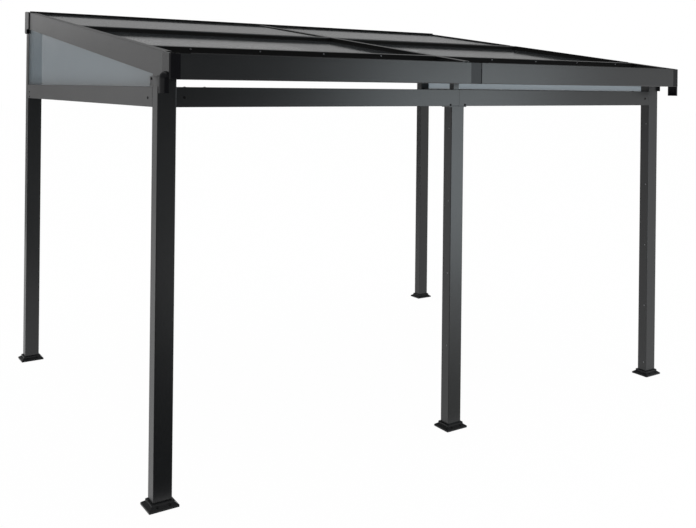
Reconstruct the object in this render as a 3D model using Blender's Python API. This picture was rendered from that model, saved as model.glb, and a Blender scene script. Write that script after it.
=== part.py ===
# A free-standing lean-to pergola: five posts, a front header, side beams, sloping rafters that hold
# clear roof sheets, clear gable sheets, a rear beam and a gutter along the low front edge.
# Lengths are in metres. X runs along the front, Y goes to the rear, Z goes up, the front faces -Y.

import math

import bmesh
import bpy

# Overall sizes, taken over the outer faces of the corner posts
frame_length = 4.27
frame_depth = 3.05
beam_bottom = 2.193
roof_slope = 0.1345

# A fit gap left between pieces that touch
gap = 0.0003

# Posts and beams, drawn from the same kind of tube
post_width = 0.110
post_depth = 0.080
post_wall = 0.003
post_corner = 0.004
beam_height = 0.112
side_beam_width = 0.080
beam_wall = 0.003
header_joint_shift = 0.012
joint_gap = 0.0015
edge_break = 0.0015

# Feet
foot_margin = 0.032
foot_edge = 0.010
foot_floor = 0.006
foot_corner = 0.004
foot_rim = 0.002
foot_rim_rise = 0.0015
collar_margin = 0.012
skirt_rise = 0.0125
collar_rise = 0.010
collar_break = 0.003

# Seat plate over the middle front post and the stub that carries the middle rafter
seat_plate = 0.006
seat_overhang = 0.022
seat_chamfer = 0.004
stub_side = 0.045
stub_wall = 0.003

# Rafters
rafter_width = 0.055
rafter_height = 0.140
rafter_proud = 0.006
rafter_wall = 0.003
eave_reach = 0.081

# Slots in the rafters, bars and rear beam: the upper sheets lie just under the rafters' tops, the lower
# ones a step further down
upper_drop = 0.006
lower_drop = 0.032
slot_depth = 0.012
sheet_thickness = 0.010
sheet_bite = 0.010

# Bars across each bay; the purlin stands a little behind the middle of the field
bar_keel = 0.021
bar_wall = 0.003
front_bar_place = 0.208
front_bar_width = 0.050
purlin_shift = 0.038
purlin_width = 0.060

# Eave flashing between the front bar and the gutter
flashing_step = 0.004
flashing_thickness = 0.003
flashing_slot_depth = 0.008
flashing_bite = 0.006
flashing_overhang = 0.022
flashing_lip = 0.010

# Rear beam, with its top in the plane of the roof up to a flat ridge
rear_beam_drop = 0.035
rear_beam_depth = 0.125
rear_beam_wall = 0.003
ridge_flat = 0.045
rear_cut_length = 0.030
rear_cut_height = 0.010
rear_cap = 0.012
rear_cap_proud = 0.008
cap_notch_length = 0.066
cap_notch_height = 0.038

# Gable sheets
gable_inset = 0.004
gable_thickness = 0.010

# Gutter
eave_gap = 0.040
gutter_depth = 0.106
gutter_height = 0.139
gutter_wall = 0.003
gutter_chamfer = 0.004
gutter_fillet = 0.002
lip_height = 0.015
lip_return = 0.014
lip_turn = 0.008
lip_groove = 0.0025
lip_groove_depth = 0.0015
gutter_overhang = 0.007
gutter_end_length = 0.062
gutter_joint_length = 0.095
gutter_joint_recess = 0.004

# Half-round spouts with domed heads on the gutter ends, fed through a mouth in each end's outer wall
end_chamfer = 0.007
spout_radius = 0.040
spout_wall = 0.003
spout_hang = 0.073
spout_spring = 0.005
spout_steps = 24
dome_steps = 8
mouth_half = 0.022
mouth_height = 0.022
cutter_reach = 0.010

# Faces that meet under this angle are shaded as one
smooth_angle = math.radians(32)

# Places that follow from the sizes
half_length = frame_length / 2
gutter_front = eave_reach + gutter_depth
front_face = (gutter_front - frame_depth - foot_margin) / 2
rear_face = front_face + frame_depth
front_post_y = front_face + post_depth / 2
rear_post_y = rear_face - post_depth / 2
corner_post_x = half_length - post_width / 2
beam_top = beam_bottom + beam_height
eave_y = front_face - eave_reach
gutter_y = front_face - gutter_front
gutter_bottom = beam_top + eave_gap
gutter_top = gutter_bottom + gutter_height
gutter_back = eave_y - gap
gutter_reach = half_length + gutter_overhang
rafter_outer = half_length + rafter_proud
rafter_inner = rafter_outer - rafter_width
rear_beam_front = rear_face - rear_beam_depth
ridge_y = rear_face - ridge_flat
front_bar_y = front_face + front_bar_place
field_middle = (front_bar_y + front_bar_width + rear_beam_front) / 2
purlin_y = field_middle - purlin_width / 2 + purlin_shift
flashing_drop = lower_drop + sheet_thickness + flashing_step
bar_height = flashing_drop + flashing_thickness + bar_keel
sheet_opening = sheet_thickness + 2 * gap
upper_slot = (upper_drop, sheet_opening, slot_depth)
lower_slot = (lower_drop, sheet_opening, slot_depth)
flashing_slot = (flashing_drop - gap, flashing_thickness + 2 * gap, flashing_slot_depth)
spout_x = gutter_reach - spout_wall
spout_y = (gutter_y + gutter_back) / 2
spout_foot = gutter_bottom - spout_hang
spout_top = gutter_bottom + spout_spring


def roof_top(y):
    # Height of the rafters' top line, which starts at the gutter's front edge
    return gutter_top + roof_slope * (y - gutter_y)


rear_beam_top = roof_top(ridge_y)
rear_beam_bottom = roof_top(rear_beam_front) - rafter_height - rear_beam_drop
# The gutter's back wall ends just under the flashing that drips into it
gutter_back_top = roof_top(gutter_back - gutter_wall) - flashing_drop - flashing_thickness - gap


def coat(name, colour, roughness, metallic=0.0, alpha=1.0):
    finish = bpy.data.materials.new(name)
    finish.use_nodes = True
    shader = finish.node_tree.nodes["Principled BSDF"]
    shader.inputs["Base Color"].default_value = (*colour, 1.0)
    shader.inputs["Roughness"].default_value = roughness
    shader.inputs["Metallic"].default_value = metallic
    shader.inputs["Alpha"].default_value = alpha
    return finish


def finished(name, mesh, finish):
    bmesh.ops.recalc_face_normals(mesh, faces=mesh.faces)
    data = bpy.data.meshes.new(name)
    mesh.to_mesh(data)
    mesh.free()
    data.shade_smooth()
    data.set_sharp_from_angle(angle=smooth_angle)
    item = bpy.data.objects.new(name, data)
    bpy.context.scene.collection.objects.link(item)
    if finish is not None:
        data.materials.append(finish)
    return item


def rectangle(low_u, low_v, high_u, high_v):
    return [(low_u, low_v), (high_u, low_v), (high_u, high_v), (low_u, high_v)]


def eased_rectangle(low_u, low_v, high_u, high_v, ease):
    # A rectangle with its four corners cut back
    return [
        (low_u + ease, low_v),
        (high_u - ease, low_v),
        (high_u, low_v + ease),
        (high_u, high_v - ease),
        (high_u - ease, high_v),
        (low_u + ease, high_v),
        (low_u, high_v - ease),
        (low_u, low_v + ease),
    ]


def slotted_outline(low, high, height, low_slots, high_slots):
    # A bar's outline below the rafters' top line; slots run from the top down on each side
    points = [(low, -height), (high, -height)]
    for drop, opening, depth in reversed(high_slots):
        inside = high - depth
        points += [(high, -drop - opening), (inside, -drop - opening), (inside, -drop), (high, -drop)]
    points += [(high, -edge_break), (high - edge_break, 0.0), (low + edge_break, 0.0), (low, -edge_break)]
    for drop, opening, depth in low_slots:
        inside = low + depth
        points += [(low, -drop), (inside, -drop), (inside, -drop - opening), (low, -drop - opening)]
    return points


def hollow_side(edge, inward, wall, slots):
    # One side of a bar's hollow from the top down, stepped inwards behind each slot
    points = []
    for drop, opening, depth in slots:
        if drop > 2 * wall:
            points += [(edge + inward * wall, -drop + wall), (edge + inward * (depth + wall), -drop + wall)]
        else:
            points.append((edge + inward * (depth + wall), -wall))
        below = -drop - opening - wall
        points += [(edge + inward * (depth + wall), below), (edge + inward * wall, below)]
    if not slots or slots[0][0] > 2 * wall:
        points.insert(0, (edge + inward * wall, -wall))
    return points


def bar_hollow(low, high, height, wall, low_slots, high_slots):
    # The hollow follows the outline at one wall's thickness
    down = hollow_side(low, 1, wall, low_slots)
    up = hollow_side(high, -1, wall, high_slots)
    return down + [(low + wall, -height + wall), (high - wall, -height + wall)] + up[::-1]


def gutter_outline(front):
    # A trough with a grooved face, a returned lip at the front and a lower back wall
    inside = front + gutter_wall
    behind = gutter_back - gutter_wall
    floor = gutter_bottom + gutter_wall
    turned = front + lip_return
    groove_top = gutter_top - lip_height
    return [
        (front + gutter_chamfer, gutter_bottom),
        (gutter_back - gutter_chamfer, gutter_bottom),
        (gutter_back, gutter_bottom + gutter_chamfer),
        (gutter_back, gutter_back_top),
        (behind, gutter_back_top),
        (behind, floor + gutter_fillet),
        (behind - gutter_fillet, floor),
        (inside + gutter_fillet, floor),
        (inside, floor + gutter_fillet),
        (inside, gutter_top - gutter_wall),
        (turned - gutter_wall, gutter_top - gutter_wall),
        (turned - gutter_wall, gutter_top - lip_turn),
        (turned, gutter_top - lip_turn),
        (turned, gutter_top),
        (front, gutter_top),
        (front, groove_top),
        (front + lip_groove_depth, groove_top),
        (front + lip_groove_depth, groove_top - lip_groove),
        (front, groove_top - lip_groove),
        (front, gutter_bottom + gutter_chamfer),
    ]


def rounded_rectangle(x, y, half_x, half_y, radius, steps=3):
    # Corner arcs run round the rectangle from its +X +Y corner
    points = []
    for quarter in range(4):
        start = math.pi / 2 * quarter
        centre_x = x + (half_x - radius) * (1 if quarter in (0, 3) else -1)
        centre_y = y + (half_y - radius) * (1 if quarter in (0, 1) else -1)
        for step in range(steps + 1):
            turn = start + math.pi / 2 * step / steps
            points.append((centre_x + radius * math.cos(turn), centre_y + radius * math.sin(turn)))
    return points


def section_body(name, outline, holes, near, far, finish):
    # A profile carried straight from its near end to its far end; near and far place a profile point
    mesh = bmesh.new()
    ends = ([], [])
    for loop in [outline] + holes:
        rings = []
        for place, edges in zip((near, far), ends):
            ring = [mesh.verts.new(place(u, v)) for u, v in loop]
            edges.extend(mesh.edges.new(pair) for pair in zip(ring, ring[1:] + ring[:1]))
            rings.append(ring)
        for index in range(len(loop)):
            after = (index + 1) % len(loop)
            mesh.faces.new((rings[0][index], rings[0][after], rings[1][after], rings[1][index]))
    for edges in ends:
        bmesh.ops.triangle_fill(mesh, use_beauty=True, edges=edges)
    return finished(name, mesh, finish)


def along_front(name, outline, holes, low_x, high_x, finish):
    # The profile lies in Y and Z
    return section_body(name, outline, holes, lambda y, z: (low_x, y, z), lambda y, z: (high_x, y, z), finish)


def along_slope(name, outline, holes, low_y, high_y, finish):
    # The profile lies in X and in height from the rafters' top line
    def near(x, drop):
        return (x, low_y, roof_top(low_y) + drop)

    def far(x, drop):
        return (x, high_y, roof_top(high_y) + drop)

    return section_body(name, outline, holes, near, far, finish)


def across_bay(name, outline, holes, low_x, high_x, finish):
    # The profile lies in Y and in height from the rafters' top line
    def near(y, drop):
        return (low_x, y, roof_top(y) + drop)

    def far(y, drop):
        return (high_x, y, roof_top(y) + drop)

    return section_body(name, outline, holes, near, far, finish)


def stacked_rings(name, rings, finish):
    # Rings of equal count are skinned in turn, and the first and last are closed
    mesh = bmesh.new()
    loops = [[mesh.verts.new(point) for point in ring] for ring in rings]
    for lower, upper in zip(loops, loops[1:]):
        for index in range(len(lower)):
            after = (index + 1) % len(lower)
            mesh.faces.new((lower[index], lower[after], upper[after], upper[index]))
    mesh.faces.new(loops[0])
    mesh.faces.new(loops[-1])
    return finished(name, mesh, finish)


def combine(item, tool, operation):
    # The tool stays hidden in the file and shapes the item through a live modifier
    tool.hide_render = True
    tool.display_type = "WIRE"
    cut = item.modifiers.new(tool.name, "BOOLEAN")
    cut.operation = operation
    cut.solver = "EXACT"
    cut.object = tool


def post_ring(x, y, margin, radius):
    # The post's outline moved out by a margin
    return rounded_rectangle(x, y, post_width / 2 + margin, post_depth / 2 + margin, radius)


def post(name, x, y, top):
    # A tube closed at its top; top gives the height at a given depth
    outer = post_ring(x, y, 0.0, post_corner)
    inner = post_ring(x, y, -post_wall, post_corner - post_wall)
    base = foot_floor + gap
    rings = [
        [(u, v, top(v) - post_wall) for u, v in inner],
        [(u, v, base) for u, v in inner],
        [(u, v, base) for u, v in outer],
        [(u, v, top(v)) for u, v in outer],
    ]
    return stacked_rings(name, rings, metal)


def foot(name, x, y):
    # A plate that slopes up from its edge to an upright collar round the pocket for the post
    rim = foot_edge + foot_rim_rise
    skirt = rim + skirt_rise
    collar = skirt + collar_rise + collar_break
    levels = [
        (foot_margin, 0.0),
        (foot_margin, foot_edge),
        (foot_margin - foot_rim, rim),
        (collar_margin, skirt),
        (collar_margin, skirt + collar_rise),
        (collar_margin - collar_break, collar),
        (gap, collar),
        (gap, foot_floor),
    ]
    rings = [[(u, v, z) for u, v in post_ring(x, y, margin, foot_corner)] for margin, z in levels]
    return stacked_rings(name, rings, metal)


def rafter(name, low_x, low_slots, high_slots):
    sides = (low_x, low_x + rafter_width, rafter_height)
    outline = slotted_outline(*sides, low_slots, high_slots)
    hollow = bar_hollow(*sides, rafter_wall, low_slots, high_slots)
    return along_slope(name, outline, [hollow], eave_y, rear_beam_front - gap, metal)


def bar(name, low_y, width, low_slot, high_slot, low_x, high_x):
    sides = (low_y, low_y + width, bar_height)
    outline = slotted_outline(*sides, [low_slot], [high_slot])
    hollow = bar_hollow(*sides, bar_wall, [low_slot], [high_slot])
    return across_bay(name, outline, [hollow], low_x + gap, high_x - gap, metal)


def roof_sheet(name, drop, low_x, high_x, low_y, high_y):
    # A sheet reaches into the slots on all four sides of its field
    top = -drop - gap
    outline = rectangle(low_y - sheet_bite, top - sheet_thickness, high_y + sheet_bite, top)
    return across_bay(name, outline, [], low_x - sheet_bite, high_x + sheet_bite, clear_sheet)


def flashing(name, low_x, high_x):
    edge = eave_y - flashing_overhang
    under = flashing_drop + flashing_thickness
    slotted = front_bar_y + flashing_bite
    outline = [
        (edge, -flashing_drop),
        (edge, -flashing_drop - flashing_lip),
        (edge + flashing_thickness, -flashing_drop - flashing_lip),
        (edge + flashing_thickness, -under),
        (slotted, -under),
        (slotted, -flashing_drop),
    ]
    return across_bay(name, outline, [], low_x + gap, high_x - gap, metal)


def header(name, low_x, high_x):
    box = (front_face, beam_bottom, front_face + post_depth, beam_top)
    outline = eased_rectangle(*box, edge_break)
    hollow = rectangle(box[0] + beam_wall, box[1] + beam_wall, box[2] - beam_wall, box[3] - beam_wall)
    return along_front(name, outline, [hollow], low_x, high_x, metal)


def side_beam(name, low_x):
    high_x = low_x + side_beam_width
    outline = eased_rectangle(low_x, beam_bottom, high_x, beam_top, edge_break)
    hollow = rectangle(low_x + beam_wall, beam_bottom + beam_wall, high_x - beam_wall, beam_top - beam_wall)
    near_y = front_face + post_depth + gap
    far_y = rear_face - post_depth - gap
    return section_body(name, outline, [hollow], lambda x, z: (x, near_y, z), lambda x, z: (x, far_y, z), metal)


def rear_beam(name, low_x, high_x):
    # Its top runs on in the plane of the roof, with a slot for the upper sheets at its front
    drop, opening, depth = upper_slot
    front = rear_beam_front
    inside = front + depth
    wall = rear_beam_wall
    behind = inside + wall
    outline = [
        (front, rear_beam_bottom),
        (rear_face - rear_cut_length, rear_beam_bottom),
        (rear_face, rear_beam_bottom + rear_cut_height),
        (rear_face, rear_beam_top - edge_break),
        (rear_face - edge_break, rear_beam_top),
        (ridge_y, rear_beam_top),
        (front + edge_break, roof_top(front + edge_break)),
        (front, roof_top(front) - edge_break),
        (front, roof_top(front) - drop),
        (inside, roof_top(inside) - drop),
        (inside, roof_top(inside) - drop - opening),
        (front, roof_top(front) - drop - opening),
    ]
    hollow = [
        (front + wall, rear_beam_bottom + wall),
        (rear_face - rear_cut_length, rear_beam_bottom + wall),
        (rear_face - wall, rear_beam_bottom + rear_cut_height + wall),
        (rear_face - wall, rear_beam_top - wall),
        (ridge_y, rear_beam_top - wall),
        (behind, roof_top(behind) - wall),
        (behind, roof_top(behind) - drop - opening - wall),
        (front + wall, roof_top(front + wall) - drop - opening - wall),
    ]
    return along_front(name, outline, [hollow], low_x, high_x, metal)


def rear_cap_piece(name, low_x):
    # An end plate with a notch at its lower front corner, which shows the beam's open end
    outline = [
        (rear_beam_front + cap_notch_length, rear_beam_bottom),
        (rear_face - rear_cut_length, rear_beam_bottom),
        (rear_face, rear_beam_bottom + rear_cut_height),
        (rear_face, rear_beam_top),
        (ridge_y, rear_beam_top),
        (rear_beam_front, roof_top(rear_beam_front)),
        (rear_beam_front, rear_beam_bottom + cap_notch_height),
        (rear_beam_front + cap_notch_length, rear_beam_bottom + cap_notch_height),
    ]
    return along_front(name, outline, [], low_x, low_x + rear_cap, metal)


def gable_sheet(name, low_x):
    near_y = front_face + post_depth + gap
    far_y = rear_face - post_depth - gap
    step_y = rear_beam_front - gap
    outline = [
        (near_y, beam_top + gap),
        (far_y, beam_top + gap),
        (far_y, rear_beam_bottom - gap),
        (step_y, rear_beam_bottom - gap),
        (step_y, under_rafter(step_y)),
        (near_y, under_rafter(near_y)),
    ]
    return along_front(name, outline, [], low_x, low_x + gable_thickness, clear_sheet)


def half_ring(side, flat_x, reach_x, reach_y, z):
    # Half an ellipse that bulges away from the middle, closed by its flat side
    turns = [math.pi * step / spout_steps - math.pi / 2 for step in range(spout_steps + 1)]
    return [(side * (flat_x + reach_x * math.cos(turn)), spout_y + reach_y * math.sin(turn), z) for turn in turns]


def spout_body(name, side, flat_x, reach_x, reach_y, foot_z):
    # A half-round length under a quarter of a dome
    rings = [half_ring(side, flat_x, reach_x, reach_y, foot_z)]
    for step in range(dome_steps + 1):
        turn = math.pi / 2 * step / (dome_steps + 1)
        shrink = math.cos(turn)
        rings.append(half_ring(side, flat_x, reach_x * shrink, reach_y * shrink, spout_top + reach_x * math.sin(turn)))
    return stacked_rings(name, rings, None)


def gutter_end(name, side):
    # A closed trough end whose top follows the roof, with a half-round spout on its outer wall
    outer = side * gutter_reach
    inner = side * (gutter_reach - gutter_end_length)
    outline = [
        (gutter_y + gutter_chamfer, gutter_bottom),
        (gutter_back - gutter_chamfer, gutter_bottom),
        (gutter_back, gutter_bottom + gutter_chamfer),
        (gutter_back, roof_top(gutter_back)),
        (gutter_y, gutter_top),
        (gutter_y, gutter_bottom + gutter_chamfer),
    ]
    item = along_front(name, outline, [], inner, outer, moulding)
    combine(item, corner_cutter(name + "_corner", outer, side), "DIFFERENCE")
    spout = spout_body(name + "_spout", side, spout_x, spout_radius, spout_radius, spout_foot)
    combine(item, spout, "UNION")
    floor = gutter_bottom + gutter_wall
    trough = [
        (gutter_y + gutter_wall, floor),
        (gutter_back - gutter_wall, floor),
        (gutter_back - gutter_wall, gutter_back_top),
        (gutter_back + cutter_reach, gutter_back_top),
        (gutter_back + cutter_reach, roof_top(gutter_back) + cutter_reach),
        (gutter_y + gutter_wall, roof_top(gutter_back) + cutter_reach),
    ]
    reach = (inner - side * cutter_reach, outer - side * (end_chamfer + gutter_wall))
    combine(item, along_front(name + "_trough", trough, [], *reach, None), "DIFFERENCE")
    bore_x = spout_radius - 2 * spout_wall
    bore_y = spout_radius - spout_wall
    bore = spout_body(name + "_bore", side, gutter_reach, bore_x, bore_y, spout_foot - cutter_reach)
    combine(item, bore, "DIFFERENCE")
    mouth = rectangle(spout_y - mouth_half, floor, spout_y + mouth_half, floor + mouth_height)
    reach = (inner, outer + side * spout_wall)
    combine(item, along_front(name + "_mouth", mouth, [], *reach, None), "DIFFERENCE")
    return item


def corner_cutter(name, outer, side):
    # A three-sided wedge along the end's upright front corner
    away = 2 * end_chamfer
    points = [
        (outer - side * end_chamfer, gutter_y),
        (outer - side * end_chamfer, gutter_y - away),
        (outer + side * away, gutter_y - away),
        (outer + side * away, gutter_y + end_chamfer),
        (outer, gutter_y + end_chamfer),
    ]
    low = gutter_bottom - cutter_reach
    high = gutter_top + cutter_reach
    return stacked_rings(name, [[(x, y, z) for x, y in points] for z in (low, high)], None)


def under_rafter(y):
    # The height at which a post ends below its rafter
    return roof_top(y) - rafter_height - gap


def at_height(height):
    return lambda y: height


bpy.ops.object.select_all(action="DESELECT")
for old in list(bpy.data.objects):
    bpy.data.objects.remove(old)

metal = coat("frame_metal", (0.060, 0.062, 0.068), 0.38)
moulding = coat("black_moulding", (0.012, 0.012, 0.014), 0.42)
clear_sheet = coat("clear_sheet", (0.36, 0.38, 0.40), 0.22, alpha=0.75)

# Feet and posts
seat_bottom = beam_bottom - gap - seat_plate
rear_post_top = rear_beam_bottom - gap
stands = [
    ("front_left", -corner_post_x, front_post_y, under_rafter),
    ("front_middle", 0.0, front_post_y, at_height(seat_bottom - gap)),
    ("front_right", corner_post_x, front_post_y, under_rafter),
    ("rear_left", -corner_post_x, rear_post_y, at_height(rear_post_top)),
    ("rear_right", corner_post_x, rear_post_y, at_height(rear_post_top)),
]
for place, x, y, top in stands:
    foot("foot_" + place, x, y)
    post("post_" + place, x, y, top)

# Header, side beams, the seat plate under the header's joint and the stub above it
header_end = half_length - post_width - gap
header("header_left", -header_end, header_joint_shift - joint_gap / 2)
header("header_right", header_joint_shift + joint_gap / 2, header_end)
side_beam("side_beam_left", -half_length)
side_beam("side_beam_right", half_length - side_beam_width)
seat_end = post_width / 2 + seat_overhang
seat_outline = [
    (-seat_end + seat_chamfer, seat_bottom),
    (seat_end - seat_chamfer, seat_bottom),
    (seat_end, seat_bottom + seat_chamfer),
    (seat_end, beam_bottom - gap),
    (-seat_end, beam_bottom - gap),
    (-seat_end, seat_bottom + seat_chamfer),
]
section_body(
    "header_seat",
    seat_outline,
    [],
    lambda x, z: (x, front_face, z),
    lambda x, z: (x, front_face + post_depth, z),
    metal,
)
stub_half = stub_side / 2
stub_inner = stub_half - stub_wall
section_body(
    "rafter_stub",
    rectangle(-stub_half, front_post_y - stub_half, stub_half, front_post_y + stub_half),
    [rectangle(-stub_inner, front_post_y - stub_inner, stub_inner, front_post_y + stub_inner)],
    lambda x, y: (x, y, beam_top + gap),
    lambda x, y: (x, y, under_rafter(y)),
    metal,
)

# Rafters and the rear beam with its end plates
both_slots = [upper_slot, lower_slot]
rafter("rafter_left", -rafter_outer, [], both_slots)
rafter("rafter_middle", -rafter_width / 2, both_slots, both_slots)
rafter("rafter_right", rafter_inner, both_slots, [])
cap_outer = rafter_outer + rear_cap_proud
rear_end = cap_outer - rear_cap - gap
rear_beam("rear_beam_left", -rear_end, -joint_gap / 2)
rear_beam("rear_beam_right", joint_gap / 2, rear_end)
rear_cap_piece("rear_cap_left", -cap_outer)
rear_cap_piece("rear_cap_right", cap_outer - rear_cap)

# Bars, sheets and flashing in each bay
bays = [("left", -rafter_inner, -rafter_width / 2), ("right", rafter_width / 2, rafter_inner)]
for side, low_x, high_x in bays:
    bar("front_bar_" + side, front_bar_y, front_bar_width, flashing_slot, lower_slot, low_x, high_x)
    bar("purlin_" + side, purlin_y, purlin_width, lower_slot, upper_slot, low_x, high_x)
    roof_sheet("roof_lower_" + side, lower_drop, low_x, high_x, front_bar_y + front_bar_width, purlin_y)
    roof_sheet("roof_upper_" + side, upper_drop, low_x, high_x, purlin_y + purlin_width, rear_beam_front)
    flashing("flashing_" + side, low_x, high_x)
gable_sheet("gable_left", -half_length + gable_inset)
gable_sheet("gable_right", half_length - gable_inset - gable_thickness)

# Gutter lengths, the cover over their joint and the closed ends
gutter_end_x = gutter_reach - gutter_end_length - gap
gutter_joint_x = gutter_joint_length / 2
along_front("gutter_left", gutter_outline(gutter_y), [], -gutter_end_x, -gutter_joint_x - gap, metal)
along_front("gutter_right", gutter_outline(gutter_y), [], gutter_joint_x + gap, gutter_end_x, metal)
joint_outline = gutter_outline(gutter_y + gutter_joint_recess)
along_front("gutter_joint", joint_outline, [], -gutter_joint_x, gutter_joint_x, moulding)
gutter_end("gutter_end_left", -1)
gutter_end("gutter_end_right", 1)
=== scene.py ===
import bpy
import math
from mathutils import Matrix, Vector


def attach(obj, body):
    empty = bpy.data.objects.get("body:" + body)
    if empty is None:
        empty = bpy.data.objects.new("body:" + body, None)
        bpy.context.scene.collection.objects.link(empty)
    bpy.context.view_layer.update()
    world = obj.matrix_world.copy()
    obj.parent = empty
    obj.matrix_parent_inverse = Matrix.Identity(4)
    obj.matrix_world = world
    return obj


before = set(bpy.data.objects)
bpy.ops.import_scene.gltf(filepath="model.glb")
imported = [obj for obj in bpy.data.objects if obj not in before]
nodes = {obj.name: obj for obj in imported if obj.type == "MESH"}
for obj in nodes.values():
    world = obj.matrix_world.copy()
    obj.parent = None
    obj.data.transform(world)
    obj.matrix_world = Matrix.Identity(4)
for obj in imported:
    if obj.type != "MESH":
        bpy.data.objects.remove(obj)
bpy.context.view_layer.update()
bpy.ops.object.select_all(action="DESELECT")
scene = bpy.context.scene
print("frame loaded with", len(nodes), "nodes")


# Camera, in the frame's own metres, found from the posts, beams and feet of the photograph
cameraPlace = {
    "location": (-3.820, -5.892, 2.318),
    "turn": 33.335,  # degrees from straight ahead towards +X
    "roll": 0.635,  # degrees
    "lens": 44.167,
    "sensor": 36.0,
    "shiftY": -0.2550,
    "clipStart": 0.05,
    "clipEnd": 200.0,
}


def makeCamera(look):
    data = bpy.data.cameras.new("camera")
    data.sensor_width = look["sensor"]
    data.lens = look["lens"]
    data.shift_y = look["shiftY"]
    data.clip_start = look["clipStart"]
    data.clip_end = look["clipEnd"]
    camera = bpy.data.objects.new("camera", data)
    scene.collection.objects.link(camera)
    turn = math.radians(look["turn"])
    roll = math.radians(look["roll"])
    forward = Vector((math.sin(turn), math.cos(turn), 0.0))
    level = Vector((math.cos(turn), -math.sin(turn), 0.0))
    right = level * math.cos(roll) + Vector((0, 0, 1)) * math.sin(roll)
    up = right.cross(forward)
    basis = Matrix((right, up, -forward)).transposed().to_4x4()
    camera.matrix_world = Matrix.Translation(Vector(look["location"])) @ basis
    scene.camera = camera


makeCamera(cameraPlace)
print("camera placed")


class Amount:
    # A socket that takes part in plain arithmetic
    def __init__(self, recipe, socket):
        self.recipe = recipe
        self.socket = socket

    def work(self, operation, first, second):
        return self.recipe.add("ShaderNodeMath", {"operation": operation}, {0: first, 1: second})

    def __add__(self, other):
        return self.work("ADD", self, other)

    def __radd__(self, other):
        return self.work("ADD", other, self)

    def __sub__(self, other):
        return self.work("SUBTRACT", self, other)

    def __rsub__(self, other):
        return self.work("SUBTRACT", other, self)

    def __mul__(self, other):
        return self.work("MULTIPLY", self, other)

    def __rmul__(self, other):
        return self.work("MULTIPLY", other, self)

    def __truediv__(self, other):
        return self.work("DIVIDE", self, other)

    def lowest(self, other):
        return self.work("MINIMUM", self, other)

    def highest(self, other):
        return self.work("MAXIMUM", self, other)


class Recipe:
    # Builds one node tree; add() takes a node's type, its settings and its sockets
    def __init__(self, tree):
        self.tree = tree

    def add(self, kind, settings=None, sockets=None, out=0):
        node = self.tree.nodes.new(kind)
        for name, value in (settings or {}).items():
            setattr(node, name, value)
        for name, value in (sockets or {}).items():
            self.feed(node.inputs[name], value)
        return Amount(self, node.outputs[out])

    def feed(self, socket, value):
        if isinstance(value, Amount):
            self.tree.links.new(value.socket, socket)
        else:
            socket.default_value = value


def newFinish(name):
    material = bpy.data.materials.new(name)
    material.use_nodes = True
    recipe = Recipe(material.node_tree)
    shader = material.node_tree.nodes["Principled BSDF"]
    place = recipe.add("ShaderNodeTexCoord", out="Object")
    return material, recipe, shader, place


def noiseOf(recipe, place, scale, detail=2.0, roughness=0.5):
    sockets = {"Vector": place, "Scale": scale, "Detail": detail, "Roughness": roughness}
    return recipe.add("ShaderNodeTexNoise", {}, sockets, out="Fac")


def mixedColour(recipe, factor, low, high):
    # The mix node's inputs 6 and 7 and its output 2 are its colours; each input may be a socket
    low, high = (value if isinstance(value, Amount) else (*value, 1.0) for value in (low, high))
    return recipe.add("ShaderNodeMix", {"data_type": "RGBA"}, {0: factor, 6: low, 7: high}, out=2)


def smoothRange(recipe, value, fromLow, fromHigh, toLow, toHigh):
    sockets = {"Value": value, "From Min": fromLow, "From Max": fromHigh, "To Min": toLow, "To Max": toHigh}
    return recipe.add("ShaderNodeMapRange", {"interpolation_type": "SMOOTHSTEP"}, sockets)


def shared(first, second, share):
    # Two amounts together, the second one by its share
    return first * (1.0 - share) + second * share


def roughOf(look, amount):
    return look["roughLow"] + (look["roughHigh"] - look["roughLow"]) * amount


def addBump(recipe, shader, height, strength, depth):
    bump = recipe.add("ShaderNodeBump", {}, {"Height": height, "Strength": strength, "Distance": depth})
    recipe.feed(shader.inputs["Normal"], bump)


def mixShaders(recipe, factor, first, second):
    # Makes a mix of two shaders the material's surface
    blend = recipe.tree.nodes.new("ShaderNodeMixShader")
    recipe.feed(blend.inputs["Fac"], factor)
    recipe.tree.links.new(first, blend.inputs[1])
    recipe.tree.links.new(second, blend.inputs[2])
    recipe.tree.links.new(blend.outputs["Shader"], recipe.tree.nodes["Material Output"].inputs["Surface"])


# Dark powder coat: a fine orange-peel skin, faint cloudiness and a little dust low down
coatedMetal = {
    "dark": (0.0066, 0.0070, 0.0076),
    "light": (0.0100, 0.0106, 0.0116),
    "dust": (0.040, 0.038, 0.033),
    "dustHeight": 0.16,
    "dustAmount": 0.06,
    "dustRough": 0.6,
    "roughLow": 0.30,
    "roughHigh": 0.38,
    "roughLimit": 0.9,
    "shine": 1.5,
    "clouds": {"scale": 2.6, "detail": 3.0, "roughness": 0.55},
    "speckle": {"scale": 900.0, "detail": 1.0},
    "speckleShare": 0.25,
    "patches": {"scale": 38.0, "detail": 4.0, "roughness": 0.6},
    "patchShare": 0.4,
    "peel": {"scale": 520.0},
    "peelStrength": 0.35,
    "peelDepth": 0.00012,
}
# The feet wear a duller coat of the same colour
footCoat = {**coatedMetal, "shine": 1.28, "dustAmount": 0.03}


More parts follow.
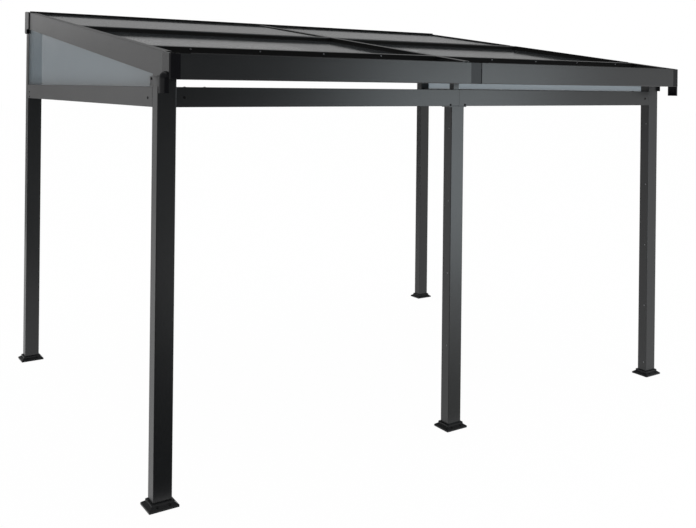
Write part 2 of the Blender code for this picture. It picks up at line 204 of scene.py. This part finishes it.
def makeCoatedMetal(name, look):
    material, recipe, shader, place = newFinish(name)
    clouds = noiseOf(recipe, place, **look["clouds"])
    speckle = noiseOf(recipe, place, **look["speckle"])
    patches = noiseOf(recipe, place, **look["patches"])
    peel = noiseOf(recipe, place, **look["peel"])
    height = recipe.add("ShaderNodeSeparateXYZ", {}, {0: place}, out="Z")
    dust = smoothRange(recipe, height, look["dustHeight"], 0.0, 0.0, 1.0) * patches * look["dustAmount"]
    coat = mixedColour(recipe, shared(clouds, speckle, look["speckleShare"]), look["dark"], look["light"])
    recipe.feed(shader.inputs["Base Color"], mixedColour(recipe, dust, coat, look["dust"]))
    rough = roughOf(look, shared(clouds, patches, look["patchShare"])) + dust * look["dustRough"]
    recipe.feed(shader.inputs["Roughness"], rough.lowest(look["roughLimit"]))
    shader.inputs["Metallic"].default_value = 0.0
    shader.inputs["IOR"].default_value = look["shine"]
    addBump(recipe, shader, peel, look["peelStrength"], look["peelDepth"])
    return material


# Black moulded plastic of the gutter's ends and joint cover
blackMoulding = {
    "dark": (0.004, 0.004, 0.005),
    "light": (0.007, 0.007, 0.008),
    "roughLow": 0.13,
    "roughHigh": 0.20,
    "shine": 1.24,
    "clouds": {"scale": 14.0, "detail": 3.0},
    "grain": {"scale": 750.0},
    "grainShare": 0.3,
    "grainStrength": 0.4,
    "grainDepth": 0.00008,
}


def makeMoulding(name, look):
    material, recipe, shader, place = newFinish(name)
    clouds = noiseOf(recipe, place, **look["clouds"])
    grain = noiseOf(recipe, place, **look["grain"])
    colour = mixedColour(recipe, shared(clouds, grain, look["grainShare"]), look["dark"], look["light"])
    recipe.feed(shader.inputs["Base Color"], colour)
    recipe.feed(shader.inputs["Roughness"], roughOf(look, clouds))
    shader.inputs["IOR"].default_value = look["shine"]
    addBump(recipe, shader, grain, look["grainStrength"], look["grainDepth"])
    return material


# Grey tinted sheets: fine ribs inside run up the slope, the skin is smooth and a little wavy
clearSheet = {
    "ribPitch": 0.010,
    "ribShare": 0.16,
    "ribTint": 0.2,
    "ribCover": 0.5,
    "ribRise": 0.02,
    "clouds": {"scale": 1.8, "detail": 3.0},
    "cloudRough": 0.04,
    "wave": {"scale": 3.2, "detail": 1.0},
    "waveStrength": 0.25,
    "waveDepth": 0.0004,
}
roofSheet = {
    **clearSheet,
    "dark": (0.030, 0.034, 0.036),
    "light": (0.044, 0.048, 0.051),
    "seeThrough": 0.20,
    "rough": 0.06,
}
gableSheet = {
    **clearSheet,
    "dark": (0.070, 0.078, 0.083),
    "light": (0.092, 0.100, 0.106),
    "seeThrough": 0.46,
    "rough": 0.22,
    "glow": 0.34,
    "glowClouds": 0.1,
    "glowColour": (0.68, 0.80, 0.88),
}


def makeSheet(name, look, ribAxis):
    material, recipe, shader, place = newFinish(name)
    along = recipe.add("ShaderNodeSeparateXYZ", {}, {0: place}, out=ribAxis)
    cell = recipe.add("ShaderNodeMath", {"operation": "FRACT"}, {0: along / look["ribPitch"]})
    rib = recipe.add("ShaderNodeMath", {"operation": "LESS_THAN"}, {0: cell, 1: look["ribShare"]})
    clouds = noiseOf(recipe, place, **look["clouds"])
    wave = noiseOf(recipe, place, **look["wave"])
    colour = mixedColour(recipe, shared(clouds, rib, look["ribTint"]), look["dark"], look["light"])
    recipe.feed(shader.inputs["Base Color"], colour)
    recipe.feed(shader.inputs["Roughness"], look["rough"] + clouds * look["cloudRough"])
    cover = (1.0 - look["seeThrough"]) + rib * (look["seeThrough"] * look["ribCover"])
    recipe.feed(shader.inputs["Alpha"], cover)
    addBump(recipe, shader, wave + rib * look["ribRise"], look["waveStrength"], look["waveDepth"])
    if "glow" in look:
        # Daylight from behind makes the gable sheets glow a little
        glow = recipe.tree.nodes.new("ShaderNodeBsdfTranslucent")
        glow.inputs["Color"].default_value = (*look["glowColour"], 1.0)
        share = look["glow"] + clouds * (look["glow"] * look["glowClouds"])
        mixShaders(recipe, share, shader.outputs["BSDF"], glow.outputs["BSDF"])
    return material


# Zinc-grey screws, black screws and bolts, and the dark rubber in the joints, also used for the strips that paint
# the shade on the upright faces round the sheets
grainyLook = {
    "grain": {"scale": 640.0, "detail": 3.0, "roughness": 0.6},
    "grainRough": 0.12,
    "grainStrength": 0.3,
    "grainDepth": 0.00005,
}
screwSteel = {
    **grainyLook,
    "dark": (0.16, 0.16, 0.17),
    "light": (0.25, 0.25, 0.26),
    "metallic": 0.9,
    "rough": 0.34,
    "shine": 1.45,
}
blackScrew = {
    **grainyLook,
    "dark": (0.004, 0.004, 0.004),
    "light": (0.007, 0.007, 0.007),
    "metallic": 0.0,
    "rough": 0.5,
    "shine": 1.2,
}
rubberAndShade = {
    **grainyLook,
    "dark": (0.004, 0.004, 0.004),
    "light": (0.008, 0.008, 0.008),
    "metallic": 0.0,
    "rough": 0.55,
    "shine": 1.2,
}


def makeGrainy(name, look):
    material, recipe, shader, place = newFinish(name)
    grain = noiseOf(recipe, place, **look["grain"])
    recipe.feed(shader.inputs["Base Color"], mixedColour(recipe, grain, look["dark"], look["light"]))
    recipe.feed(shader.inputs["Roughness"], look["rough"] + grain * look["grainRough"])
    shader.inputs["Metallic"].default_value = look["metallic"]
    shader.inputs["IOR"].default_value = look["shine"]
    addBump(recipe, shader, grain, look["grainStrength"], look["grainDepth"])
    return material


frameFinish = makeCoatedMetal("coatedMetal", coatedMetal)
footFinish = makeCoatedMetal("footCoat", footCoat)
mouldingFinish = makeMoulding("blackMoulding", blackMoulding)
roofFinish = makeSheet("roofSheet", roofSheet, "X")
gableFinish = makeSheet("gableSheet", gableSheet, "Y")
screwFinish = makeGrainy("screwSteel", screwSteel)
blackScrewFinish = makeGrainy("blackScrew", blackScrew)
# Painted shade: this black rubber also covers the upright faces round the sheets
rubberAndShadeFinish = makeGrainy("jointRubberAndShade", rubberAndShade)

# The frame's nodes are dressed by how their names start, and all others are coated metal
finishes = {
    "roof_": roofFinish,
    "gable_": gableFinish,
    "gutter_joint": mouldingFinish,
    "gutter_end_": mouldingFinish,
    "foot_": footFinish,
}
for name, node in nodes.items():
    node.data.materials.clear()
    finish = [finish for start, finish in finishes.items() if name.startswith(start)] or [frameFinish]
    node.data.materials.append(finish[0])
print("finishes placed")


# Small pieces are modelled once at the origin, head up, and each copy is placed with its own mesh
smoothAngle = 35.0
roundSides = 24


def editFaces(item, test, *steps):
    # Runs the steps in edit mode on the faces that pass the test
    bpy.ops.object.mode_set(mode="OBJECT")
    for vertex in item.data.vertices:
        vertex.select = False
    for edge in item.data.edges:
        edge.select = False
    for face in item.data.polygons:
        face.select = test(face)
    bpy.ops.object.mode_set(mode="EDIT")
    bpy.ops.mesh.select_mode(type="FACE")
    for step in steps:
        step()
    bpy.ops.object.mode_set(mode="OBJECT")


def isTop(face):
    return face.normal.z > 0.9


def isOuter(face):
    return face.normal.y > 0.9


def inset(thickness):
    return lambda: bpy.ops.mesh.inset(thickness=thickness)


def shift(value):
    return lambda: bpy.ops.transform.translate(value=value)


def extrude(value):
    return lambda: bpy.ops.mesh.extrude_region_move(TRANSFORM_OT_translate={"value": value})


def bevelled(item, width, segments=2, angle=smoothAngle):
    modifier = item.modifiers.new("edges", "BEVEL")
    modifier.width = width
    modifier.segments = segments
    modifier.limit_method = "ANGLE"
    modifier.angle_limit = math.radians(angle)
    bpy.ops.object.modifier_apply(modifier=modifier.name)


def freshPiece(name):
    piece = bpy.context.active_object
    piece.name = name
    return piece


def addCylinder(name, sides, radius, depth, foot=0.0):
    bpy.ops.object.select_all(action="DESELECT")
    place = (0, 0, foot + depth / 2)
    bpy.ops.mesh.primitive_cylinder_add(vertices=sides, radius=radius, depth=depth, location=place)
    return freshPiece(name)


def smooth():
    bpy.ops.object.shade_smooth_by_angle(angle=math.radians(smoothAngle))


screwLook = {"radius": 0.0055, "rise": 0.0026, "socket": 0.0022, "depth": 0.0014, "ease": 0.0009, "dome": 0.6}
broadScrewLook = {"radius": 0.0078, "rise": 0.0030, "socket": 0.0032, "depth": 0.0018, "ease": 0.0012, "dome": 0.6}


def modelScrew(look):
    # A low round head with a sunk socket
    screw = addCylinder("screwModel", roundSides, look["radius"], look["rise"])
    editFaces(
        screw,
        isTop,
        inset(look["ease"]),
        shift((0, 0, look["ease"] * look["dome"])),
        inset(look["radius"] - look["ease"] - look["socket"]),
        extrude((0, 0, -look["depth"])),
    )
    smooth()
    return screw


boltLook = {
    "washer": 0.0085,
    "washerRise": 0.0015,
    "head": 0.0062,
    "headRise": 0.0042,
    "headSides": 6,
    "headAngle": 20.0,
    "ease": 0.0006,
}


def modelBolt(look):
    # A six-sided head raised out of its washer
    washer = addCylinder("washerModel", roundSides, look["washer"], look["washerRise"])
    bevelled(washer, look["ease"] / 2, 1)
    bolt = addCylinder("boltModel", look["headSides"], look["head"], look["headRise"], look["washerRise"])
    editFaces(bolt, isTop, inset(look["ease"] * 2), shift((0, 0, look["ease"])))
    bevelled(bolt, look["ease"] / 2, 1, look["headAngle"])
    washer.select_set(True)
    bolt.select_set(True)
    bpy.ops.object.join()
    smooth()
    return bolt


def settle(piece):
    # Writes a piece's place, turn and size into its own mesh
    bpy.ops.object.select_all(action="DESELECT")
    piece.select_set(True)
    bpy.context.view_layer.objects.active = piece
    bpy.ops.object.transform_apply(location=True, rotation=True, scale=True)


def finishPiece(piece, finish):
    settle(piece)
    piece.data.materials.clear()
    piece.data.materials.append(finish)
    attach(piece, "root")


def placeCopies(model, name, places, facing, finish):
    # One piece made of copies of a model, turned so that its top looks along the facing direction
    copies = []
    for place in places:
        copy = model.copy()
        copy.data = model.data.copy()
        scene.collection.objects.link(copy)
        turned = Vector(facing).to_track_quat("Z", "Y").to_matrix().to_4x4()
        copy.matrix_world = Matrix.Translation(Vector(place)) @ turned
        settle(copy)
        copies.append(copy)
    bpy.ops.object.select_all(action="DESELECT")
    for copy in copies:
        copy.select_set(True)
    bpy.context.view_layer.objects.active = copies[0]
    if len(copies) > 1:
        bpy.ops.object.join()
    finishPiece(freshPiece(name), finish)


# Places taken from the frame's own nodes
def spanOf(points):
    low = Vector([min(point[axis] for point in points) for axis in range(3)])
    high = Vector([max(point[axis] for point in points) for axis in range(3)])
    return low, high


def boxOf(name):
    return spanOf([nodes[name].matrix_world @ Vector(corner) for corner in nodes[name].bound_box])


sides = {"left": -1, "right": 1}
fitGap = 0.0003
frontFace = boxOf("header_left")[0].y
outerFace = boxOf("side_beam_right")[1].x
screwModel = modelScrew(screwLook)
broadScrewModel = modelScrew(broadScrewLook)
boltModel = modelBolt(boltLook)

# Screws down the left faces of the middle and right front posts, at these heights
postScrews = {
    "front_middle": (2.043, 1.551, 1.059, 0.567),
    "front_right": (2.043, 1.551, 1.059, 0.567, 0.105),
}
postScrewInset = 0.023
for name, heights in postScrews.items():
    face = boxOf("post_" + name)[0].x
    places = [(face, frontFace + postScrewInset, height) for height in heights]
    placeCopies(screwModel, "screws_post_" + name, places, (-1, 0, 0), screwFinish)

# Screws through the black strips that paint the shade on the front bars, whose tops fall to the front
barScrews = {"offsets": (0.50, 0.95, 1.405, 1.86), "topFall": 0.0067, "drop": 0.012, "proud": 0.0015}
for side, sign in sides.items():
    low, high = boxOf("front_bar_" + side)
    height = high.z - barScrews["topFall"] - barScrews["drop"]
    places = [(sign * offset, low.y - barScrews["proud"], height) for offset in barScrews["offsets"]]
    placeCopies(screwModel, "screws_front_bar_" + side, places, (0, -1, 0), screwFinish)

# Screws in the header's ends and over its seat: distance from the middle and height
headerScrews = {"end": (1.979, 2.246), "seat": (0.064, 2.201)}
places = [(sign * offset, frontFace, height) for offset, height in headerScrews.values() for sign in (-1, 1)]
placeCopies(broadScrewModel, "screws_header", places, (0, -1, 0), blackScrewFinish)

# Screws in the side beams' ends: Y and height
sideScrews = {"front": (-1.299, 2.243), "rear": (1.474, 2.246), "rearLow": (1.470, 2.206)}
for side, sign in sides.items():
    places = [(sign * outerFace, y, z) for y, z in sideScrews.values()]
    placeCopies(broadScrewModel, "screws_side_beam_" + side, places, (sign, 0, 0), blackScrewFinish)

# Bolt heads on top of the header near its ends
headerBolts = {"offsets": (1.970, 1.850), "fromFront": 0.022}
headerTop = boxOf("header_left")[1].z
for side, sign in sides.items():
    places = [(sign * offset, frontFace + headerBolts["fromFront"], headerTop) for offset in headerBolts["offsets"]]
    placeCopies(boltModel, "bolts_header_" + side, places, (0, 0, 1), blackScrewFinish)

# Bolts on the slopes of the feet
footBolts = {"alongX": 0.036, "slopeOut": 0.020, "slopeHeight": 0.0185, "rise": 0.0125, "run": 0.018}
for name in ("front_left", "front_middle", "front_right", "rear_left", "rear_right"):
    low, high = boxOf("post_" + name)
    middle = (low + high) / 2
    for end, edge, sign in (("front", low.y, -1), ("rear", high.y, 1)):
        y = edge + sign * footBolts["slopeOut"]
        places = [(middle.x + step * footBolts["alongX"], y, footBolts["slopeHeight"]) for step in (-1, 1)]
        facing = (0, sign * footBolts["rise"], footBolts["run"])
        placeCopies(boltModel, "bolts_" + name + "_" + end, places, facing, blackScrewFinish)
print("fasteners placed")

# A plate with one screw over the corner where a side beam, a front post and an outer rafter meet
bracketLook = {
    "front": -0.022,
    "rear": 0.108,
    "low": 2.3075,
    "high": 2.3635,
    "thickness": 0.003,
    "ease": 0.0007,
    "screwBack": 0.086,
    "screwHeight": 2.350,
}


def makeBracket(side, sign, look):
    bpy.ops.object.select_all(action="DESELECT")
    middle = (look["front"] + look["rear"]) / 2
    out = sign * (outerFace + look["thickness"] / 2 + fitGap)
    place = (out, frontFace + middle, (look["low"] + look["high"]) / 2)
    bpy.ops.mesh.primitive_cube_add(size=1.0, location=place)
    bracket = freshPiece("bracket_rafter_" + side)
    bracket.scale = (look["thickness"], look["rear"] - look["front"], look["high"] - look["low"])
    settle(bracket)
    bevelled(bracket, look["ease"], 2)
    smooth()
    finishPiece(bracket, frameFinish)
    face = sign * (outerFace + look["thickness"] + fitGap)
    places = [(face, frontFace + look["screwBack"], look["screwHeight"])]
    placeCopies(broadScrewModel, "screw_bracket_" + side, places, (sign, 0, 0), blackScrewFinish)


for side, sign in sides.items():
    makeBracket(side, sign, bracketLook)

# Rubber beads where each roof sheet meets the frame round it
beadLook = {"width": 0.004, "rise": 0.0022, "ease": 0.0006, "lift": 0.0002}
# How far a sheet reaches into the slots, and how near its front edge a point has to be
sheetBite = {"slot": 0.0102, "edge": 0.001}


def sheetField(sheet):
    # The low front and high rear corners of the part of a sheet's top that shows between the slots
    placed = [nodes[sheet].matrix_world @ vertex.co for vertex in nodes[sheet].data.vertices]
    low, high = spanOf(placed)
    frontTop = max(point.z for point in placed if point.y < low.y + sheetBite["edge"])
    slope = (high.z - frontTop) / (high.y - low.y)
    bite = sheetBite["slot"]
    lowCorner = Vector((low.x + bite, low.y + bite, frontTop + slope * bite))
    highCorner = Vector((high.x - bite, high.y - bite, high.z - slope * bite))
    return lowCorner, highCorner


def makeBead(name, sheet, look):
    # A flat ring as large as the sheet's visible field, raised, eased and tipped to the roof's slope
    low, high = sheetField(sheet)
    bpy.ops.object.select_all(action="DESELECT")
    bpy.ops.mesh.primitive_plane_add(size=1.0, location=(0, 0, 0))
    bead = freshPiece(name)
    bead.scale = (high.x - low.x, math.hypot(high.y - low.y, high.z - low.z), 1.0)
    settle(bead)
    editFaces(bead, isTop, inset(look["width"]), lambda: bpy.ops.mesh.delete(type="FACE"))
    editFaces(
        bead,
        lambda face: True,
        extrude((0, 0, look["rise"])),
        lambda: bpy.ops.mesh.select_all(action="SELECT"),
        lambda: bpy.ops.mesh.normals_make_consistent(inside=False),
    )
    bevelled(bead, look["ease"], 1)
    bead.rotation_euler = (math.atan2(high.z - low.z, high.y - low.y), 0.0, 0.0)
    bead.location = ((low.x + high.x) / 2, (low.y + high.y) / 2, (low.z + high.z) / 2 + look["lift"])
    settle(bead)
    finishPiece(bead, rubberAndShadeFinish)


for name in nodes:
    if name.startswith("roof_"):
        makeBead("bead_" + name, name, beadLook)

# Black sealing strips, as tall as the upright faces round the sheets, paint the shade on these faces; and a rolled
# lip along the gutter
stripLook = {"thickness": 0.0015, "rim": 0.0012, "sink": 0.0004, "ease": 0.0003, "gap": 0.0001, "angle": 50.0}
ridgeLook = {**stripLook, "thickness": 0.0030, "rim": 0.0020, "sink": 0.0006, "ease": 0.0006}
lipLook = {**stripLook, "thickness": 0.0070, "rim": 0.0012, "sink": 0.0002, "ease": 0.0016}
# Heights of the black strips, which paint the shade on the upright faces
shadeSealHeights = {
    "lower": 0.0305,
    "lowerTall": 0.0368,
    "upper": 0.0052,
    "upperTall": 0.0108,
    "purlin": 0.0240,
    "ridge": 0.0168,
    "step": 0.0068,
}
# How far the strips stop short at their ends, where the tall ones start and where the ridge's line ends
shadeSealPlace = {
    "sheetEnd": 0.001,
    "purlinEnd": 0.003,
    "barEnd": 0.002,
    "barTop": 0.0072,
    "tallFrom": 2.0,
    "ridgeEnd": 2.137,
}
lipPlace = {"end": 0.060, "inward": 0.0073, "height": 0.0036}


def makeStrip(name, start, end, height, facing, finish, look):
    # A thin strip whose back lower edge runs from start to end, with a raised rim on its outer face
    along = Vector(end) - Vector(start)
    outward = Vector(facing).normalized()
    upward = along.cross(outward).normalized()
    if upward.z < 0:
        upward = -upward
    sideways = outward.cross(upward)
    bpy.ops.object.select_all(action="DESELECT")
    bpy.ops.mesh.primitive_cube_add(size=1.0)
    strip = freshPiece(name)
    strip.scale = (along.length, look["thickness"], height)
    strip.location = (0.0, look["gap"] + look["thickness"] / 2, height / 2)
    settle(strip)
    editFaces(strip, isOuter, inset(look["rim"]), shift((0, -look["sink"], 0)))
    bevelled(strip, look["ease"], 2, look["angle"])
    smooth()
    turned = Matrix((sideways, outward, upward)).transposed().to_4x4()
    strip.matrix_world = Matrix.Translation((Vector(start) + Vector(end)) / 2) @ turned
    finishPiece(strip, finish)


def makeLevelShadeSeal(name, lowX, highX, y, z, height, look=stripLook):
    # A black strip along X that faces the front and paints the shade on the face behind it
    makeStrip("shade_seal_" + name, (lowX, y, z), (highX, y, z), height, (0, -1, 0), rubberAndShadeFinish, look)


# Painted shade: black strips cover the rafter faces beside a sheet, the purlin face above a lower sheet and the
# ridge face above an upper one
def shadeSealSheet(kind, side):
    sheet = "roof_" + kind + "_" + side
    low, high = sheetField(sheet)
    end = shadeSealPlace["sheetEnd"]
    for edge, x, facing in (("low_x", low.x, 1), ("high_x", high.x, -1)):
        height = shadeSealHeights[kind + ("Tall" if x > shadeSealPlace["tallFrom"] else "")]
        start = (x, low.y + end, low.z + fitGap)
        stop = (x, high.y - end, high.z + fitGap)
        makeStrip("shade_seal_" + sheet + "_" + edge, start, stop, height, (facing, 0, 0), rubberAndShadeFinish, stripLook)
    if kind == "lower":
        end = shadeSealPlace["purlinEnd"]
        makeLevelShadeSeal("purlin_" + side, low.x + end, high.x - end, high.y, high.z + fitGap, shadeSealHeights["purlin"])
        return
    rise = shadeSealHeights["ridge"]
    makeLevelShadeSeal("ridge_" + side, low.x + end, high.x - end, high.y, high.z + fitGap, rise, ridgeLook)
    # The ridge's line goes on over the rafters in lower strips
    foot = high.z + shadeSealHeights["step"]
    rise = shadeSealHeights["ridge"] - shadeSealHeights["step"]
    if side == "left":
        makeLevelShadeSeal("ridge_left_middle", high.x, -high.x, high.y, foot, rise, ridgeLook)
        makeLevelShadeSeal("ridge_left_end", -shadeSealPlace["ridgeEnd"], low.x, high.y, foot, rise, ridgeLook)
    else:
        makeLevelShadeSeal("ridge_right_end", high.x, shadeSealPlace["ridgeEnd"], high.y, foot, rise, ridgeLook)


# Painted shade: a black strip covers the front bar's face
def shadeSealFrontBar(side):
    low, high = boxOf("front_bar_" + side)
    foot = boxOf("flashing_" + side)[1].z + fitGap
    end = shadeSealPlace["barEnd"]
    height = high.z - shadeSealPlace["barTop"] - foot
    makeLevelShadeSeal("front_bar_" + side, low.x + end, high.x - end, low.y, foot, height)


def makeLip(side):
    low, high = boxOf("gutter_" + side)
    y = low.y + lipPlace["inward"]
    start = (low.x + lipPlace["end"], y, high.z)
    stop = (high.x - lipPlace["end"], y, high.z)
    makeStrip("lip_gutter_" + side, start, stop, lipPlace["height"], (0, -1, 0), frameFinish, lipLook)


for side in sides:
    shadeSealSheet("lower", side)
    shadeSealSheet("upper", side)
    shadeSealFrontBar(side)
    makeLip(side)
for model in (screwModel, broadScrewModel, boltModel):
    bpy.data.objects.remove(model)
print("brackets, beads and strips placed")


# White floor with a faint shadow, under a sky that is white low down and grey above in reflections
studio = {
    "floorSize": 160.0,
    "floorDrop": 0.0005,
    "floorWhite": 0.982,
    "floorDark": (0.90, 0.90, 0.90),
    "floorLight": (0.93, 0.93, 0.93),
    "floorGrain": {"scale": 3.0},
    "floorShine": 0.1,
    "matt": 0.9,
    "skyLevel": 0.36,
    "whiteTop": 0.108,
    "greyFrom": 0.140,
    "lightLevel": 0.90,
}


def rayShare(recipe, kind):
    return recipe.add("ShaderNodeLightPath", out="Is " + kind + " Ray")


def seenShare(recipe):
    # One for rays that come from the camera, from a reflection or through a sheet
    share = rayShare(recipe, "Camera").highest(rayShare(recipe, "Glossy"))
    return share.highest(rayShare(recipe, "Transmission"))


def addPlane(name, material, size, place, tilt=0.0):
    bpy.ops.object.select_all(action="DESELECT")
    bpy.ops.mesh.primitive_plane_add(size=1.0, location=place, rotation=(tilt, 0.0, 0.0))
    plane = freshPiece(name)
    plane.scale = (*size, 1.0)
    plane.data.materials.append(material)
    return plane


def makeFloor(look):
    # Seen directly or in a reflection the floor is mostly its own plain white
    material, recipe, shader, place = newFinish("paleFloor")
    grain = noiseOf(recipe, place, **look["floorGrain"])
    recipe.feed(shader.inputs["Base Color"], mixedColour(recipe, grain, look["floorDark"], look["floorLight"]))
    shader.inputs["Roughness"].default_value = look["matt"]
    shader.inputs["Specular IOR Level"].default_value = look["floorShine"]
    glow = recipe.tree.nodes.new("ShaderNodeEmission")
    share = seenShare(recipe) * look["floorWhite"]
    mixShaders(recipe, share, shader.outputs["BSDF"], glow.outputs["Emission"])
    addPlane("floor", material, (look["floorSize"], look["floorSize"]), (0.0, 0.0, -look["floorDrop"]))


makeFloor(studio)

# Cards that only reflections see: black ones keep the left end of the front faces dark, a pale one
# lights the foot of the middle post and a grey one the left faces at the rear
cardGrain = {"scale": 6.0}
blackCard = {"dark": (0.010, 0.010, 0.010), "light": (0.014, 0.014, 0.014)}
greyCard = {"dark": (0.34, 0.34, 0.34), "light": (0.40, 0.40, 0.40)}
paleCard = {"dark": (0.56, 0.55, 0.52), "light": (0.62, 0.61, 0.58)}
cards = {
    "behindCamera": {"look": blackCard, "size": (14.5, 6.0), "place": (-2.75, -9.0, 3.0), "tilt": 90.0},
    "beforeLeftPost": {"look": blackCard, "size": (9.4, 7.45), "place": (-5.30, -5.275, 0.001), "tilt": 0.0},
    "beforeMiddlePost": {"look": paleCard, "size": (2.1, 1.6), "place": (0.45, -2.35, 0.001), "tilt": 0.0},
    "behindFrame": {"look": greyCard, "size": (5.2, 3.0), "place": (-2.1, 7.5, 1.5), "tilt": 90.0},
}


def makeCard(name, look, size, place, tilt):
    material, recipe, shader, spot = newFinish(name)
    grain = noiseOf(recipe, spot, **cardGrain)
    recipe.feed(shader.inputs["Base Color"], mixedColour(recipe, grain, look["dark"], look["light"]))
    shader.inputs["Roughness"].default_value = studio["matt"]
    card = addPlane(name, material, size, place, math.radians(tilt))
    card.visible_camera = False
    card.visible_diffuse = False
    card.visible_shadow = False


for name, card in cards.items():
    makeCard(name, **card)


def makeWorld(look):
    world = bpy.data.worlds.new("studioWorld")
    scene.world = world
    world.use_nodes = True
    recipe = Recipe(world.node_tree)
    background = world.node_tree.nodes["Background"]
    direction = recipe.add("ShaderNodeTexCoord", out="Generated")
    rise = recipe.add("ShaderNodeSeparateXYZ", {}, {0: direction}, out="Z")
    fade = smoothRange(recipe, rise, look["whiteTop"], look["greyFrom"], 1.0, look["skyLevel"])
    seen = seenShare(recipe)
    direct = rayShare(recipe, "Camera")
    reflected = (seen - direct) * fade
    recipe.feed(background.inputs["Color"], (1.0, 1.0, 1.0, 1.0))
    recipe.feed(background.inputs["Strength"], direct + reflected + (1 - seen) * look["lightLevel"])


makeWorld(studio)

lamps = {
    "overhead": {
        "place": (0.0, 0.5, 9.0),
        "target": (0.0, 0.5, 0.0),
        "size": (9.0, 8.0),
        "power": 130.0,
        "colour": (1.0, 1.0, 1.0),
    },
    "frontRight": {
        "place": (2.45, -4.65, 1.55),
        "target": (0.0, -1.5, 1.55),
        "size": (2.0, 2.6),
        "power": 50.0,
        "colour": (0.84, 0.95, 1.0),
    },
}


def addLamp(name, place, target, size, power, colour):
    data = bpy.data.lights.new(name, "AREA")
    data.shape = "RECTANGLE"
    data.size, data.size_y = size
    data.energy = power
    data.color = colour
    lamp = bpy.data.objects.new(name, data)
    scene.collection.objects.link(lamp)
    aim = Vector(target) - Vector(place)
    lamp.matrix_world = Matrix.Translation(Vector(place)) @ aim.to_track_quat("-Z", "Y").to_matrix().to_4x4()
    lamp.visible_camera = False


for name, lamp in lamps.items():
    addLamp(name, **lamp)
print("studio placed")

scene.view_settings.view_transform = "Standard"
